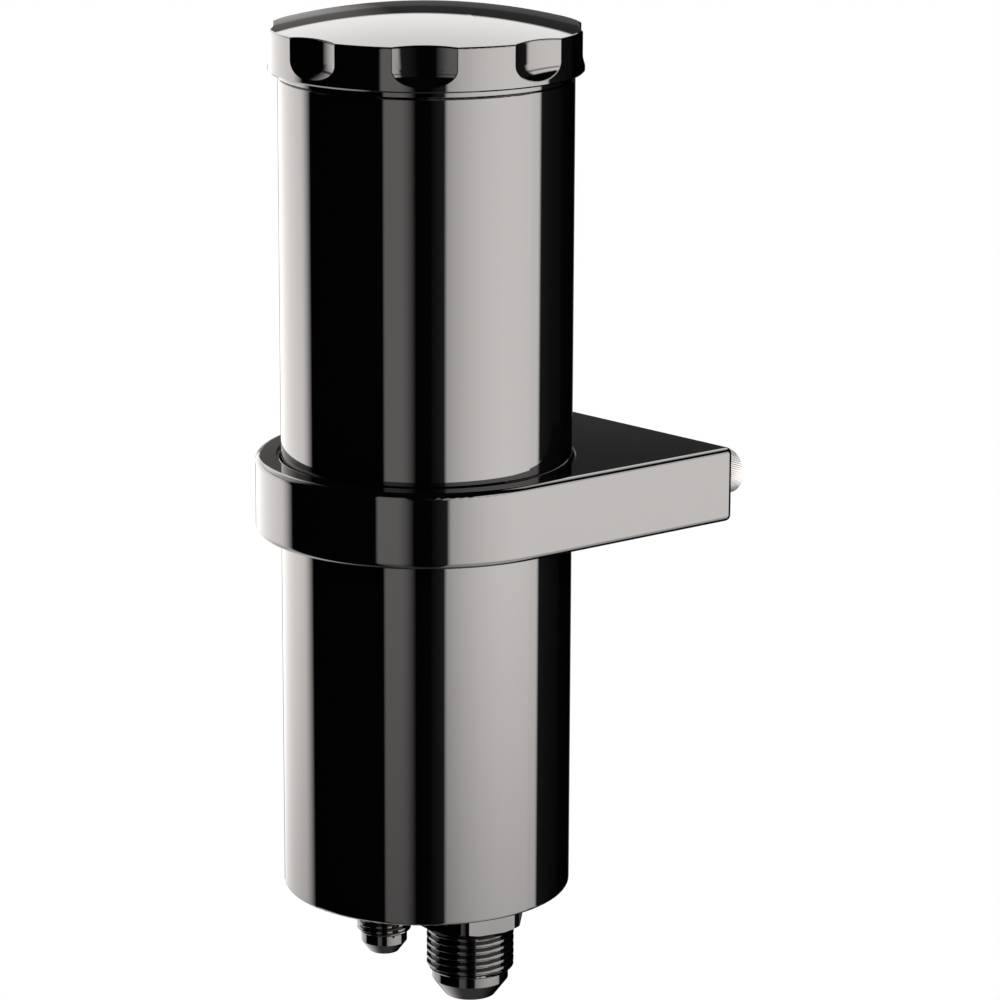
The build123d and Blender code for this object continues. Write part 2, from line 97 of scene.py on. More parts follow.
class EffectLibrary:
    """Makes the shared node groups and places them in materials."""

    def __init__(self) -> None:
        """Builds every group once."""
        self.groups: dict[Effect, bpy.types.NodeTree] = {
            Effect.SMUDGES: self._smudges(),
            Effect.LATHE_LINES: self._lathe_lines(),
            Effect.DUST: self._dust(),
            Effect.GRAIN: self._grain(),
        }

    @staticmethod
    def _new_group(name: str, inputs: dict[str, float], output: str) -> bpy.types.NodeTree:
        """Starts a node group with number inputs and one number output.

        Args:
            name: Name of the group.
            inputs: Input names with their default values.
            output: Name of the output.

        Returns:
            The group, with its input and output nodes in place.
        """
        group = bpy.data.node_groups.new(name, "ShaderNodeTree")
        for label, value in inputs.items():
            socket = group.interface.new_socket(label, in_out="INPUT", socket_type="NodeSocketFloat")
            socket.default_value = value
        group.interface.new_socket(output, in_out="OUTPUT", socket_type="NodeSocketFloat")
        group.nodes.new("NodeGroupInput").name = "In"
        group.nodes.new("NodeGroupOutput").name = "Out"
        return group

    def _smudges(self) -> bpy.types.NodeTree:
        """Makes cloudy patches between a low and a high value.

        Returns:
            A group that puts out a roughness.
        """
        group = self._new_group("handling_smudges", {"Scale": 40.0, "Low": 0.03, "High": 0.06}, "Roughness")
        nodes, links = group.nodes, group.links
        place = nodes.new("ShaderNodeTexCoord")
        noise = nodes.new("ShaderNodeTexNoise")
        noise.inputs["Detail"].default_value = 5.0
        spread = nodes.new("ShaderNodeMapRange")
        spread.inputs["From Min"].default_value = 0.35
        spread.inputs["From Max"].default_value = 0.68
        links.new(place.outputs["Object"], noise.inputs["Vector"])
        links.new(nodes["In"].outputs["Scale"], noise.inputs["Scale"])
        links.new(noise.outputs["Fac"], spread.inputs["Value"])
        links.new(nodes["In"].outputs["Low"], spread.inputs["To Min"])
        links.new(nodes["In"].outputs["High"], spread.inputs["To Max"])
        links.new(spread.outputs["Result"], nodes["Out"].inputs["Roughness"])
        return group

    def _lathe_lines(self) -> bpy.types.NodeTree:
        """Makes fine level rings, as a turning or polishing tool leaves them.

        Returns:
            A group that puts out a height.
        """
        group = self._new_group("lathe_lines", {"Lines per metre": 9000.0, "Wander": 25.0}, "Height")
        nodes, links = group.nodes, group.links
        place = nodes.new("ShaderNodeTexCoord")
        split = nodes.new("ShaderNodeSeparateXYZ")
        across_x = nodes.new("ShaderNodeMath")
        across_x.operation = "MULTIPLY"
        across_y = nodes.new("ShaderNodeMath")
        across_y.operation = "MULTIPLY"
        along = nodes.new("ShaderNodeMath")
        along.operation = "MULTIPLY"
        join = nodes.new("ShaderNodeCombineXYZ")
        noise = nodes.new("ShaderNodeTexNoise")
        noise.inputs["Scale"].default_value = 1.0
        noise.inputs["Detail"].default_value = 2.0
        links.new(place.outputs["Object"], split.inputs["Vector"])
        links.new(split.outputs["X"], across_x.inputs[0])
        links.new(split.outputs["Y"], across_y.inputs[0])
        links.new(split.outputs["Z"], along.inputs[0])
        links.new(nodes["In"].outputs["Wander"], across_x.inputs[1])
        links.new(nodes["In"].outputs["Wander"], across_y.inputs[1])
        links.new(nodes["In"].outputs["Lines per metre"], along.inputs[1])
        links.new(across_x.outputs[0], join.inputs["X"])
        links.new(across_y.outputs[0], join.inputs["Y"])
        links.new(along.outputs[0], join.inputs["Z"])
        links.new(join.outputs["Vector"], noise.inputs["Vector"])
        links.new(noise.outputs["Fac"], nodes["Out"].inputs["Height"])
        return group

    def _dust(self) -> bpy.types.NodeTree:
        """Makes sparse specks of dust.

        Returns:
            A group that puts out a mask, 1 on a speck.
        """
        group = self._new_group("settled_dust", {"Scale": 900.0, "Cover": 0.05}, "Mask")
        nodes, links = group.nodes, group.links
        place = nodes.new("ShaderNodeTexCoord")
        cells = nodes.new("ShaderNodeTexVoronoi")
        noise = nodes.new("ShaderNodeTexNoise")
        noise.inputs["Scale"].default_value = 60.0
        size = nodes.new("ShaderNodeMath")
        size.operation = "MULTIPLY"
        inside = nodes.new("ShaderNodeMath")
        inside.operation = "LESS_THAN"
        links.new(place.outputs["Object"], cells.inputs["Vector"])
        links.new(place.outputs["Object"], noise.inputs["Vector"])
        links.new(nodes["In"].outputs["Scale"], cells.inputs["Scale"])
        links.new(noise.outputs["Fac"], size.inputs[0])
        links.new(nodes["In"].outputs["Cover"], size.inputs[1])
        links.new(cells.outputs["Distance"], inside.inputs[0])
        links.new(size.outputs[0], inside.inputs[1])
        links.new(inside.outputs[0], nodes["Out"].inputs["Mask"])
        return group

    def _grain(self) -> bpy.types.NodeTree:
        """Makes an even fine grain.

        Returns:
            A group that puts out a height.
        """
        group = self._new_group("surface_grain", {"Scale": 2500.0, "Detail": 3.0}, "Height")
        nodes, links = group.nodes, group.links
        place = nodes.new("ShaderNodeTexCoord")
        noise = nodes.new("ShaderNodeTexNoise")
        links.new(place.outputs["Object"], noise.inputs["Vector"])
        links.new(nodes["In"].outputs["Scale"], noise.inputs["Scale"])
        links.new(nodes["In"].outputs["Detail"], noise.inputs["Detail"])
        links.new(noise.outputs["Fac"], nodes["Out"].inputs["Height"])
        return group

    def place(self, tree: bpy.types.NodeTree, effect: Effect, **values: float) -> bpy.types.Node:
        """Puts an effect in a material.

        Args:
            tree: The material's node tree.
            effect: Which effect.
            **values: The effect's input values, with underscores for spaces in their names.

        Returns:
            The group node.
        """
        node = tree.nodes.new("ShaderNodeGroup")
        node.node_tree = self.groups[effect]
        for label, value in values.items():
            node.inputs[label.replace("_", " ")].default_value = value
        return node


def new_material(name: str) -> tuple[bpy.types.Material, bpy.types.Node]:
    """Makes a material with one Principled shader.

    Args:
        name: Name of the material.

    Returns:
        The material and its shader node.
    """
    material = bpy.data.materials.new(name)
    material.use_nodes = True
    return material, material.node_tree.nodes["Principled BSDF"]


def add_bump(
    material: bpy.types.Material,
    shader: bpy.types.Node,
    height: bpy.types.NodeSocket,
    strength: float,
    distance: float,
) -> None:
    """Feeds a height to the shader's normal.

    Args:
        material: The material.
        shader: Its Principled shader.
        height: Output socket that carries the height.
        strength: Strength of the bump.
        distance: Depth of a full height step.
    """
    bump = material.node_tree.nodes.new("ShaderNodeBump")
    bump.inputs["Strength"].default_value = strength
    bump.inputs["Distance"].default_value = distance
    material.node_tree.links.new(height, bump.inputs["Height"])
    material.node_tree.links.new(bump.outputs["Normal"], shader.inputs["Normal"])


def mix_colours(
    material: bpy.types.Material, mask: bpy.types.NodeSocket, base: Colour, other: Colour
) -> bpy.types.NodeSocket:
    """Mixes two colours by a mask.

    Args:
        material: The material.
        mask: Output socket, 0 for the first colour and 1 for the second.
        base: First colour.
        other: Second colour.

    Returns:
        The output socket with the mixed colour.
    """
    mix = material.node_tree.nodes.new("ShaderNodeMix")
    mix.data_type = "RGBA"
    mix.inputs["A"].default_value = (*base, 1.0)
    mix.inputs["B"].default_value = (*other, 1.0)
    material.node_tree.links.new(mask, mix.inputs["Factor"])
    return mix.outputs["Result"]


@dataclass(frozen=True)
class GlossBlack:
    """Polished aluminium under a deep black, glossy anodised coat."""

    base: Colour = (0.0016, 0.0016, 0.0018)
    dust: Colour = (0.03, 0.03, 0.031)
    ior: float = 2.0
    roughness_low: float = 0.015
    roughness_high: float = 0.035

    def build(self, effects: EffectLibrary) -> bpy.types.Material:
        """Makes the material.

        Args:
            effects: The shared effects.

        Returns:
            The material.
        """
        material, shader = new_material("gloss_black_anodised")
        tree = material.node_tree
        shader.inputs["IOR"].default_value = self.ior
        dust = effects.place(tree, Effect.DUST, Scale=700.0, Cover=0.10)
        tree.links.new(
            mix_colours(material, dust.outputs["Mask"], self.base, self.dust),
            shader.inputs["Base Color"],
        )
        smudges = effects.place(
            tree, Effect.SMUDGES, Scale=45.0, Low=self.roughness_low, High=self.roughness_high
        )
        tree.links.new(smudges.outputs["Roughness"], shader.inputs["Roughness"])
        lines = effects.place(tree, Effect.LATHE_LINES, Lines_per_metre=9000.0, Wander=25.0)
        add_bump(material, shader, lines.outputs["Height"], 0.02, 0.00001)
        return material


@dataclass(frozen=True)
class BrightZinc:
    """Bright zinc-plated steel of the screws and washers."""

    base: Colour = (0.47, 0.47, 0.47)
    tarnish: Colour = (0.37, 0.36, 0.345)
    roughness_low: float = 0.3
    roughness_high: float = 0.45

    def build(self, effects: EffectLibrary) -> bpy.types.Material:
        """Makes the material.

        Args:
            effects: The shared effects.

        Returns:
            The material.
        """
        material, shader = new_material("bright_zinc_plate")
        tree = material.node_tree
        shader.inputs["Metallic"].default_value = 1.0
        patches = effects.place(tree, Effect.SMUDGES, Scale=260.0, Low=0.0, High=0.6)
        tree.links.new(
            mix_colours(material, patches.outputs["Roughness"], self.base, self.tarnish),
            shader.inputs["Base Color"],
        )
        smudges = effects.place(
            tree, Effect.SMUDGES, Scale=420.0, Low=self.roughness_low, High=self.roughness_high
        )
        tree.links.new(smudges.outputs["Roughness"], shader.inputs["Roughness"])
        grain = effects.place(tree, Effect.GRAIN, Scale=3800.0, Detail=3.0)
        add_bump(material, shader, grain.outputs["Height"], 0.12, 0.00004)
        return material


@dataclass(frozen=True)
class BlackOxideSteel:
    """Black oxide steel of the set screw and the snap ring."""

    base: Colour = (0.045, 0.045, 0.05)
    worn: Colour = (0.16, 0.15, 0.14)

    def build(self, effects: EffectLibrary) -> bpy.types.Material:
        """Makes the material.

        Args:
            effects: The shared effects.

        Returns:
            The material.
        """
        material, shader = new_material("black_oxide_steel")
        tree = material.node_tree
        shader.inputs["Metallic"].default_value = 0.85
        patches = effects.place(tree, Effect.SMUDGES, Scale=300.0, Low=0.0, High=0.5)
        tree.links.new(
            mix_colours(material, patches.outputs["Roughness"], self.base, self.worn),
            shader.inputs["Base Color"],
        )
        smudges = effects.place(tree, Effect.SMUDGES, Scale=500.0, Low=0.35, High=0.5)
        tree.links.new(smudges.outputs["Roughness"], shader.inputs["Roughness"])
        grain = effects.place(tree, Effect.GRAIN, Scale=5000.0, Detail=4.0)
        add_bump(material, shader, grain.outputs["Height"], 0.2, 0.00004)
        return material


@dataclass(frozen=True)
class BareAluminium:
    """Machined, uncoated aluminium of the baffle and the standpipe."""

    base: Colour = (0.72, 0.73, 0.74)
    dull: Colour = (0.55, 0.56, 0.57)

    def build(self, effects: EffectLibrary) -> bpy.types.Material:
        """Makes the material.

        Args:
            effects: The shared effects.

        Returns:
            The material.
        """
        material, shader = new_material("machined_aluminium")
        tree = material.node_tree
        shader.inputs["Metallic"].default_value = 1.0
        patches = effects.place(tree, Effect.SMUDGES, Scale=120.0, Low=0.0, High=0.5)
        tree.links.new(
            mix_colours(material, patches.outputs["Roughness"], self.base, self.dull),
            shader.inputs["Base Color"],
        )
        smudges = effects.place(tree, Effect.SMUDGES, Scale=200.0, Low=0.24, High=0.38)
        tree.links.new(smudges.outputs["Roughness"], shader.inputs["Roughness"])
        lines = effects.place(tree, Effect.LATHE_LINES, Lines_per_metre=6000.0, Wander=40.0)
        add_bump(material, shader, lines.outputs["Height"], 0.2, 0.00003)
        return material


@dataclass(frozen=True)
class SealRubber:
    """Matte black rubber of the seal rings."""

    base: Colour = (0.012, 0.012, 0.013)
    bloom: Colour = (0.045, 0.045, 0.045)

    def build(self, effects: EffectLibrary) -> bpy.types.Material:
        """Makes the material.

        Args:
            effects: The shared effects.

        Returns:
            The material.
        """
        material, shader = new_material("seal_rubber_black")
        tree = material.node_tree
        bloom = effects.place(tree, Effect.SMUDGES, Scale=350.0, Low=0.0, High=0.6)
        tree.links.new(
            mix_colours(material, bloom.outputs["Roughness"], self.base, self.bloom),
            shader.inputs["Base Color"],
        )
        smudges = effects.place(tree, Effect.SMUDGES, Scale=600.0, Low=0.5, High=0.7)
        tree.links.new(smudges.outputs["Roughness"], shader.inputs["Roughness"])
        grain = effects.place(tree, Effect.GRAIN, Scale=7000.0, Detail=3.0)
        add_bump(material, shader, grain.outputs["Height"], 0.25, 0.00004)
        return material


class FinishRack:
    """Holds one material for each slot of the record."""

    def __init__(self) -> None:
        """Builds the effects and the materials."""
        effects = EffectLibrary()
        self.materials: dict[Slot, bpy.types.Material] = {
            Slot.GLOSS_BLACK: GlossBlack().build(effects),
            Slot.ZINC: BrightZinc().build(effects),
            Slot.RUBBER: SealRubber().build(effects),
            Slot.BARE: BareAluminium().build(effects),
            Slot.BLACK_STEEL: BlackOxideSteel().build(effects),
        }

    def dress(self, piece: bpy.types.Object, slot: Slot) -> None:
        """Gives a piece the material of a slot.

        Args:
            piece: The piece.
            slot: The slot it takes its finish from.
        """
        piece.data.materials.clear()
        piece.data.materials.append(self.materials[slot])
        for face in piece.data.polygons:
            face.material_index = 0


def link_mesh(name: str, mesh: bpy.types.Mesh) -> bpy.types.Object:
    """Puts a mesh in the scene.

    Args:
        name: Name of the piece.
        mesh: Its mesh.

    Returns:
        The new object.
    """
    piece = bpy.data.objects.new(name, mesh)
    bpy.context.scene.collection.objects.link(piece)
    return piece


def smooth_by_angle(mesh: bpy.types.Mesh, degrees: float) -> None:
    """Shades a mesh smooth and keeps the edges above an angle sharp.

    Args:
        mesh: The mesh.
        degrees: Edges sharper than this stay sharp.
    """
    stored = mesh.attributes.get("custom_normal")
    if stored is not None:
        mesh.attributes.remove(stored)
    mesh.shade_smooth()
    mesh.set_sharp_from_angle(angle=math.radians(degrees))


class AxisFrame:
    """Cylinder coordinates around one axis of the part."""

    def __init__(self, origin: Vector, along: Vector, across: Vector) -> None:
        """Sets the axes.

        Args:
            origin: A point on the axis.
            along: The axis's direction.
            across: The direction of angle zero, square to the axis.
        """
        self.origin = origin
        self.along = along.normalized()
        self.across = across.normalized()
        self.third = self.along.cross(self.across)

    def point(self, radius: float, angle: float, height: float) -> Vector:
        """Returns the point at a radius, an angle in radians and a height along the axis."""
        side = self.across * math.cos(angle) + self.third * math.sin(angle)
        return self.origin + self.along * height + side * radius

    def radius_of(self, point: Vector) -> float:
        """Returns a point's distance from the axis."""
        offset = point - self.origin
        return (offset - self.along * offset.dot(self.along)).length

    def height_of(self, point: Vector) -> float:
        """Returns a point's height along the axis."""
        return (point - self.origin).dot(self.along)


@dataclass
class BandSwap:
    """Swaps the plain round band of a CAD solid for a finer surface.

    Attributes:
        frame: Axis of the band.
        low: Height where the band starts.
        high: Height where the band ends.
        inner_radius: Faces nearer the axis than this stay.
    """

    frame: AxisFrame
    low: float
    high: float
    inner_radius: float

    def cut(self, node: bpy.types.Object, name: str) -> bmesh.types.BMesh:
        """Copies a CAD node's mesh without the band.

        Args:
            node: The CAD node.
            name: Name for messages.

        Returns:
            The open mesh, still to be given its new band.
        """
        shell = bmesh.new()
        shell.from_mesh(node.data)
        bmesh.ops.remove_doubles(shell, verts=shell.verts, dist=WELD_DISTANCE)
        margin = 0.02 * MILLIMETRE
        band = []
        for face in shell.faces:
            centre = face.calc_center_median()
            between = self.low + margin < self.frame.height_of(centre) < self.high - margin
            if between and self.frame.radius_of(centre) > self.inner_radius:
                band.append(face)
        bmesh.ops.delete(shell, geom=band, context="FACES")
        LOG.info("%s: swapped %d band faces", name, len(band))
        return shell

    def fill(self, shell: bmesh.types.BMesh, rows: list[list[Vector]]) -> None:
        """Adds the new band as rows of quads and welds the seam.

        Args:
            shell: The open mesh.
            rows: Rows of points once round the axis, from the band's low end to its high end. The
                last point of a row lies on the first point of that row, or of a row one turn on.
        """
        rings = [[shell.verts.new(point) for point in row] for row in rows]
        for lower, upper in zip(rings[:-1], rings[1:]):
            for index in range(len(lower) - 1):
                shell.faces.new((lower[index], lower[index + 1], upper[index + 1], upper[index]))
        seam = [vertex for ring in rings for vertex in ring]
        bmesh.ops.remove_doubles(shell, verts=seam, dist=WELD_DISTANCE)
        bmesh.ops.dissolve_degenerate(shell, dist=WELD_DISTANCE, edges=shell.edges)


@dataclass
class HoseFitting:
    """A flared hose fitting with its helical thread.

    Attributes:
        node: Its CAD node.
        centre_x: Place of its axis along X.
        thread_radius: Outside radius of the thread.
        thread_top: Height of the thread's upper end, at the hexagon.
        thread_bottom: Height of the thread's lower end.
        pitch: Rise of one turn.
        end_chamfer: Chamfer at the thread's lower end.
        runout: Length of plain neck under the hexagon.
        segments: Steps around one turn.
        depth_share: Depth of the thread, as a share of its pitch.
        knots: Places in one turn's rise, each a row of the mesh, with how far the thread stands
            out there, from 0 at its root to 1.
    """

    node: str
    centre_x: float
    thread_radius: float
    thread_top: float
    thread_bottom: float
    pitch: float
    end_chamfer: float = 0.8 * MILLIMETRE
    runout: float = 0.9 * MILLIMETRE
    segments: int = 144
    depth_share: float = 0.58
    knots: tuple[tuple[float, float], ...] = (
        (0.0, 1.0),
        (0.03, 1.0),
        (0.15, 1.0),
        (0.27, 1.0),
        (0.3, 0.97),
        (0.46, 0.5),
        (0.61, 0.04),
        (0.66, 0.0),
        (0.71, 0.04),
        (0.85, 0.5),
        (0.97, 0.97),
    )

    def _crest_share(self, turns: float) -> float:
        """Returns how far the thread stands out at a place in turns, from 0 at its root to 1."""
        place = turns % 1.0
        ladder = [*self.knots, (1.0, 1.0)]
        for (start, low), (end, high) in zip(ladder[:-1], ladder[1:]):
            if start <= place <= end:
                return low + (high - low) * (place - start) / (end - start)
        return 1.0

    def _rows(self, frame: AxisFrame) -> list[list[Vector]]:
        """Works out the thread's rows of points.

        Args:
            frame: Axis of the fitting, with heights from the thread's lower end.

        Returns:
            Rows of points, each once round the axis, from the lower end to the hexagon.
        """
        length = self.thread_top - self.thread_bottom
        depth = self.depth_share * self.pitch
        turns = int(length / self.pitch) + 3
        steps = [turn + knot for turn in range(-1, turns) for knot, _ in self.knots]
        rows = [self._ring(frame, self.thread_radius - self.end_chamfer, 0.0)]
        for step in steps:
            row = []
            for index in range(self.segments + 1):
                height = (step + index / self.segments) * self.pitch
                height = min(max(height, 0.0), length - self.runout)
                share = self._crest_share(height / self.pitch - index / self.segments)
                radius = self.thread_radius - depth * (1.0 - share)
                radius = min(radius, self.thread_radius - self.end_chamfer + height)
                fade = (length - self.runout - height) / (0.5 * self.pitch)
                radius = min(radius, self.thread_radius - depth * (1.0 - max(fade, 0.0)))
                row.append(frame.point(radius, self._angle(index), height))
            rows.append(row)
        neck_radius = self.thread_radius - depth
        rows.append(self._ring(frame, neck_radius, length - self.runout))
        rows.append(self._ring(frame, neck_radius, length))
        rows.append(self._ring(frame, self.thread_radius, length))
        return rows

    def _ring(self, frame: AxisFrame, radius: float, height: float) -> list[Vector]:
        """Returns a level ring of points round the axis."""
        return [frame.point(radius, self._angle(index), height) for index in range(self.segments + 1)]

    def _angle(self, index: int) -> float:
        """Returns the angle of a step round the thread, in radians."""
        return 2.0 * math.pi * (index % self.segments) / self.segments

    def build(self, nodes: dict[str, bpy.types.Object], rack: FinishRack) -> bpy.types.Object:
        """Makes the threaded fitting in place of its plain solid.

        Args:
            nodes: The CAD nodes by name.
            rack: The finishes.

        Returns:
            The new piece.
        """
        origin = Vector((self.centre_x, CAN_AXIS_Y, self.thread_bottom))
        frame = AxisFrame(origin, Vector((0, 0, 1)), Vector((1, 0, 0)))
        length = self.thread_top - self.thread_bottom
        band = BandSwap(frame, 0.0, length, self.thread_radius - 1.2 * self.end_chamfer)
        shell = band.cut(nodes[self.node], self.node)
        band.fill(shell, self._rows(frame))
        mesh = bpy.data.meshes.new(f"{self.node}_threaded")
        shell.to_mesh(mesh)
        shell.free()
        smooth_by_angle(mesh, SHARP_ANGLE)
        piece = link_mesh(f"{self.node}_threaded", mesh)
        rack.dress(piece, Slot.GLOSS_BLACK)
        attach(piece, "reservoir")
        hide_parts(self.node)
        return piece


@dataclass
class KnurledScrew:
    """A socket head screw with a knurled head.

    Attributes:
        node: Its CAD node.
        centre_x: Place of its axis along X.
        head_seat: Distance from the mounting face to the underside of the head.
        head_height: Height of the head.
        head_radius: Outside radius of the head.
        top_chamfer: Chamfer at the head's outer end.
        plain_foot: Plain band under the knurl.
        tooth_count: Teeth around the head.
        tooth_depth: Depth of a tooth.
        tooth_run: Length over which the teeth run out at both ends.
        samples: Steps across one tooth.
    """

    node: str
    centre_x: float
    head_seat: float = 2.5 * MILLIMETRE
    head_height: float = 7.94 * MILLIMETRE
    head_radius: float = 5.95 * MILLIMETRE
    top_chamfer: float = 0.7 * MILLIMETRE
    plain_foot: float = 0.7 * MILLIMETRE
    tooth_count: int = 84
    tooth_depth: float = 0.1 * MILLIMETRE
    tooth_run: float = 0.25 * MILLIMETRE
    samples: int = 4

    def _rows(self, frame: AxisFrame, length: float) -> list[list[Vector]]:
        """Works out the knurled band's rows of points.

        Args:
            frame: Axis of the screw, with heights from the head's seat.
            length: Length of the band.

        Returns:
            Rows of points, each once round the axis, from the seat to the chamfer.
        """
        count = self.tooth_count * self.samples
        levels = (
            (0.0, 0.0),
            (self.plain_foot, 0.0),
            (self.plain_foot + self.tooth_run, 1.0),
            (length - self.tooth_run, 1.0),
            (length, 0.0),
        )
        rows = []
        for height, share in levels:
            row = []
            for index in range(count + 1):
                place = (index % self.samples) / self.samples
                valley = 1.0 - abs(2.0 * place - 1.0)
                radius = self.head_radius - self.tooth_depth * share * valley
                row.append(frame.point(radius, 2.0 * math.pi * (index % count) / count, height))
            rows.append(row)
        return rows

    def build(self, nodes: dict[str, bpy.types.Object], rack: FinishRack) -> bpy.types.Object:
        """Makes the knurled screw in place of its plain solid.

        Args:
            nodes: The CAD nodes by name.
            rack: The finishes.

        Returns:
            The new piece.
        """
        origin = Vector((self.centre_x, self.head_seat, 0.0))
        frame = AxisFrame(origin, Vector((0, 1, 0)), Vector((0, 0, 1)))
        length = self.head_height - self.top_chamfer
        band = BandSwap(frame, 0.0, length, 0.9 * self.head_radius)
        shell = band.cut(nodes[self.node], self.node)
        band.fill(shell, self._rows(frame, length))
        mesh = bpy.data.meshes.new(f"{self.node}_knurled")
        shell.to_mesh(mesh)
        shell.free()
        smooth_by_angle(mesh, SHARP_ANGLE)
        piece = link_mesh(f"{self.node}_knurled", mesh)
        rack.dress(piece, Slot.ZINC)
        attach(piece, "reservoir")
        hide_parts(self.node)
        return piece


@dataclass
class PlainPieces:
    """The CAD nodes that keep their own meshes, each with its finish."""

    slots: dict[str, Slot] = field(
        default_factory=lambda: {
            "can": Slot.GLOSS_BLACK,
            "cap": Slot.GLOSS_BLACK,
            "bracket": Slot.GLOSS_BLACK,
            "cap_o_ring": Slot.RUBBER,
            "outlet_o_ring": Slot.RUBBER,
            "return_o_ring": Slot.RUBBER,
            "baffle_plate": Slot.BARE,
            "return_standpipe": Slot.BARE,
            "baffle_snap_ring": Slot.BLACK_STEEL,
            "can_set_screw": Slot.BLACK_STEEL,
            "mounting_washer_left": Slot.ZINC,
            "mounting_washer_right": Slot.ZINC,
            "mounting_lock_washer_left": Slot.ZINC,
            "mounting_lock_washer_right": Slot.ZINC,
        }
    )

    def dress(self, nodes: dict[str, bpy.types.Object], rack: FinishRack) -> None:
        """Gives every plain piece its material.

        Args:
            nodes: The CAD nodes by name.
            rack: The finishes.
        """
        for name, slot in self.slots.items():
            rack.dress(nodes[name], slot)
            LOG.info("dressed %s as %s", name, slot.value)


@dataclass
class PhotoCamera:
    """The camera that took the photograph.

    Attributes:
        place: Where it stands.
        heading: Direction it looks, in degrees anticlockwise from +Y seen from above.
        pitch: How far it looks down, in degrees.
        roll: Its tilt, in degrees.
        lens: Focal length for a sensor of 36 mm, in millimetres.
    """

    place: tuple[float, float, float] = (0.72003, -0.74476, 0.25254)
    heading: float = 45.3664
    pitch: float = 14.409
    roll: float = 0.2424
    lens: float = 146.987

    def build(self) -> bpy.types.Object:
        """Makes the camera and gives it to the scene.

        Returns:
            The camera.
        """
        data = bpy.data.cameras.new("photo_camera")
        data.lens = self.lens
        data.sensor_width = 36.0
        data.sensor_fit = "HORIZONTAL"
        data.clip_start = 0.01
        data.clip_end = 50.0
        camera = bpy.data.objects.new("photo_camera", data)
        bpy.context.scene.collection.objects.link(camera)
        turn = Matrix.Rotation(math.radians(self.heading), 4, "Z")
        tilt = Matrix.Rotation(math.radians(90.0 - self.pitch), 4, "X")
        roll = Matrix.Rotation(math.radians(self.roll), 4, "Z")
        camera.matrix_world = Matrix.Translation(self.place) @ turn @ tilt @ roll
        bpy.context.scene.camera = camera
        return camera


def ramp(place: float, start: float, end: float) -> float:
    """Returns 0 before the start, 1 past the end and a straight rise between them."""
    return min(max((place - start) / (end - start), 0.0), 1.0)


@dataclass(frozen=True)
class LightPanel:
    """A soft box on the studio's ring, bent round the part.

    A pair of numbers holds for its left and its right edge.

    Attributes:
        left: Azimuth of its left edge, in degrees.
        width: Its width, in degrees.
        glow: Brightness at its left edge, its middle and its right edge.
        soft_left: Width of its soft left edge, in degrees.
        soft_right: Width of its soft right edge, in degrees.
        top: Height of its upper edge.
        fade: Length over which it fades out below that edge.
        bar: Share of its light that its cross bar lets through.
        upper: Share of its light above the cross bar.
        bar_foot: Heights between which the cross bar begins.
        bar_head: Heights between which the cross bar ends.
    """

    left: float
    width: float
    glow: tuple[float, float, float]
    soft_left: float = 1.0
    soft_right: float = 1.0
    top: tuple[float, float] = (0.64, 0.64)
    fade: tuple[float, float] = (0.08, 0.08)
    bar: tuple[float, float] = (1.0, 1.0)
    upper: float = 1.0
    bar_foot: tuple[float, float] = (0.26, 0.3)
    bar_head: tuple[float, float] = (0.39, 0.43)

    def light(self, azimuth: float, height: float) -> float:
        """Returns the panel's brightness at an azimuth and a height."""
        offset = (azimuth - self.left) % 360.0
        if offset >= self.width:
            return 0.0
        across = offset / self.width
        start, middle, end = self.glow
        level = start * (1.0 - across) * (1.0 - 2.0 * across) + end * across * (2.0 * across - 1.0)
        level += 4.0 * middle * across * (1.0 - across)
        level *= self._edge(offset, self.soft_left) * self._edge(self.width - offset, self.soft_right)
        top = self._between(self.top, across)
        level *= ramp(height, top, top - self._between(self.fade, across))
        bar = self._between(self.bar, across)
        into_bar = ramp(height, *self.bar_foot)
        past_bar = ramp(height, *self.bar_head)
        return level * (1.0 + (bar - 1.0) * into_bar + (self.upper - bar) * past_bar)

    @staticmethod
    def _edge(inside: float, soft: float) -> float:
        """Returns the share of light at a distance inside an edge, 1 everywhere at a hard one."""
        return math.sin(0.5 * math.pi * min(inside / soft, 1.0)) if soft else 1.0

    @staticmethod
    def _between(pair: tuple[float, float], across: float) -> float:
        """Returns the value between a pair's left and right one."""
        return pair[0] + (pair[1] - pair[0]) * across


